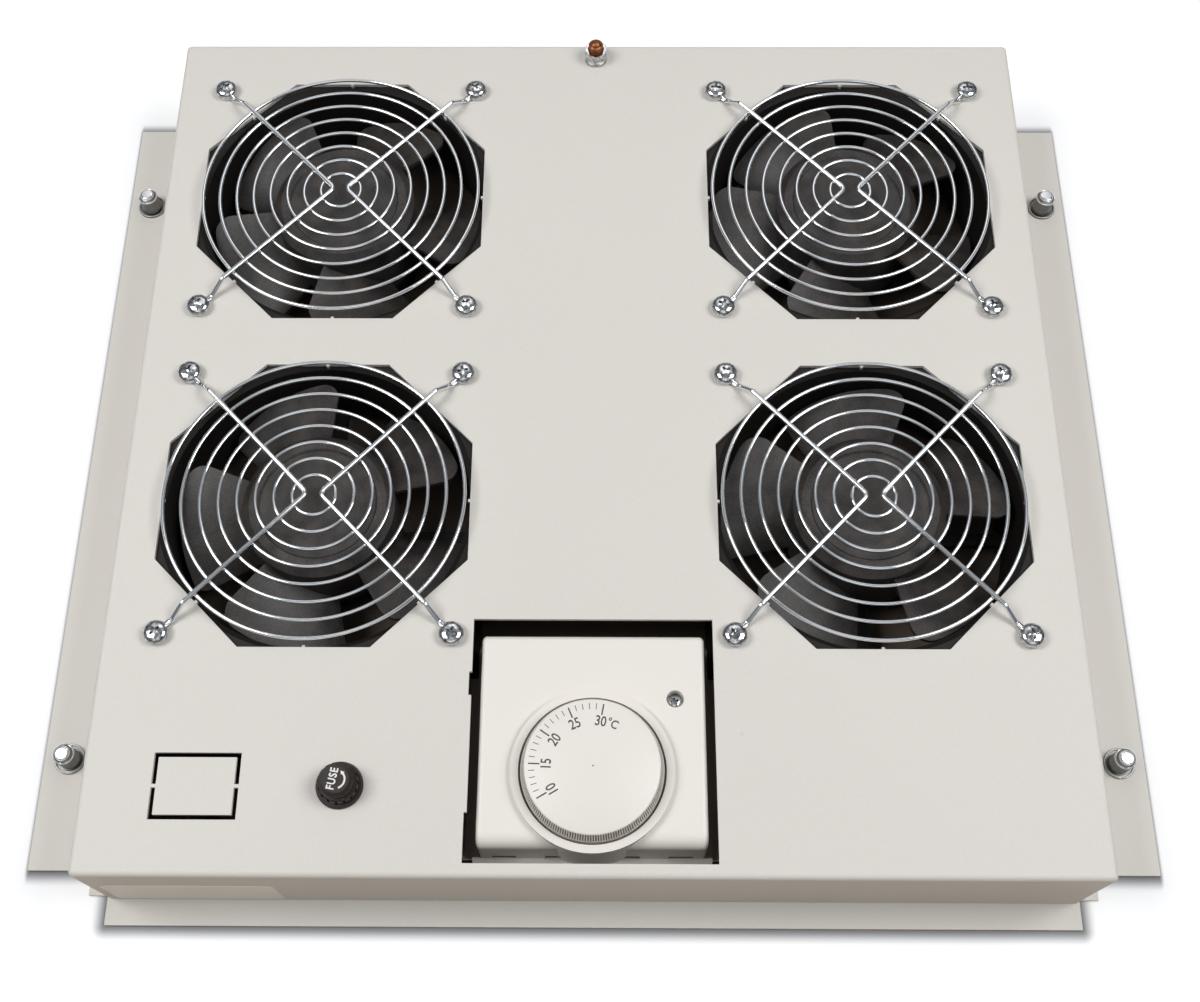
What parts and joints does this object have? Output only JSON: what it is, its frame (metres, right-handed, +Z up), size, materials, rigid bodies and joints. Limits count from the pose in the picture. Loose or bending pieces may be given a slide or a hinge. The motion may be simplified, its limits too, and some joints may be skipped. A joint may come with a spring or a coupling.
{
  "type": "rack fan tray",
  "caption": "Shallow folded steel tray with guarded axial fans, a dial thermostat, a fuse holder and side flanges with studs for fixing in a cabinet roof.",
  "frame": {"origin": "middle of the plane under the flanges, at the bottom centre of the bounding box", "axes": "+X to the right seen from the fuse and dial side, +Y to the back where the earth stud is, +Z up out of the guards"},
  "size_m": [0.411, 0.3684, 0.0585],
  "materials": {
    "panel_coat": "light grey powder coat, fine texture",
    "zinc_steel": "dull zinc-plated steel",
    "bright_steel": "bright nickel or chrome plate",
    "copper_plate": "copper-flashed steel",
    "fan_black": "black glass-filled plastic",
    "core_steel": "varnished laminations",
    "contact_brass": "bare brass",
    "stat_white": "warm white moulded plastic",
    "block_grey": "grey moulded plastic",
    "fuse_black": "black moulded plastic",
    "fuse_tube": "clear glass"
  },
  "bodies": {
    "tray": {"earth_nut": "zinc_steel", "earth_stud": "copper_plate", "earth_washer": "zinc_steel", "fan_bearings": "zinc_steel", "fan_frame_back_left": "fan_black", "fan_frame_back_right": "fan_black", "fan_frame_front_left": "fan_black", "fan_frame_front_right": "fan_black", "fan_stators": "core_steel", "fan_terminals": "contact_brass", "finger_guards": "bright_steel", "flange_studs": "zinc_steel", "fuse_holder_body": "fuse_black", "fuse_holder_nut": "fuse_black", "fuse_terminals": "contact_brass", "guard_nuts": "zinc_steel", "guard_screws": "bright_steel", "thermostat_base": "stat_white", "thermostat_base_screws": "zinc_steel", "thermostat_bimetal": "contact_brass", "thermostat_cover": "stat_white", "thermostat_cover_screw": "zinc_steel", "thermostat_cradle": "zinc_steel", "thermostat_switch": "block_grey", "thermostat_terminal_block": "block_grey", "thermostat_terminal_screws": "zinc_steel", "tray_panel": "panel_coat"},
    "rotor_front_left": {"fan_impeller_front_left": "fan_black", "fan_shaft_front_left": "zinc_steel"},
    "rotor_front_right": {"fan_impeller_front_right": "fan_black", "fan_shaft_front_right": "zinc_steel"},
    "rotor_back_left": {"fan_impeller_back_left": "fan_black", "fan_shaft_back_left": "zinc_steel"},
    "rotor_back_right": {"fan_impeller_back_right": "fan_black", "fan_shaft_back_right": "zinc_steel"},
    "dial": {"thermostat_dial": "stat_white", "thermostat_spindle": "stat_white"},
    "fuse": {"fuse_glass": "fuse_tube", "fuse_end_caps": "bright_steel"},
    "cap": {"fuse_cap": "fuse_black"}
  },
  "joints": [
    {"name": "rotor_front_left_spin", "type": "hinge", "parent": "tray", "child": "rotor_front_left", "pos_m": [-0.1026, -0.03785, 0.03], "axis": [0, 0, 1], "continuous": true},
    {"name": "rotor_front_right_spin", "type": "hinge", "parent": "tray", "child": "rotor_front_right", "pos_m": [0.1026, -0.03785, 0.03], "axis": [0, 0, 1], "continuous": true},
    {"name": "rotor_back_left_spin", "type": "hinge", "parent": "tray", "child": "rotor_back_left", "pos_m": [-0.1026, 0.09675, 0.03], "axis": [0, 0, 1], "continuous": true},
    {"name": "rotor_back_right_spin", "type": "hinge", "parent": "tray", "child": "rotor_back_right", "pos_m": [0.1026, 0.09675, 0.03], "axis": [0, 0, 1], "continuous": true},
    {"name": "dial_turn", "type": "hinge", "parent": "tray", "child": "dial", "pos_m": [0, -0.1383, 0.05], "axis": [0, 0, 1], "range_deg": [-121, 10]},
    {"name": "fuse_pull", "type": "slide", "parent": "tray", "child": "fuse", "axis": [0, 0, 1], "range_m": [0, 0.045]},
    {"name": "cap_turn", "type": "hinge", "parent": "fuse", "child": "cap", "pos_m": [-0.086, -0.1443, 0.05], "axis": [0, 0, 1], "range_deg": [0, 90]}
  ]
}
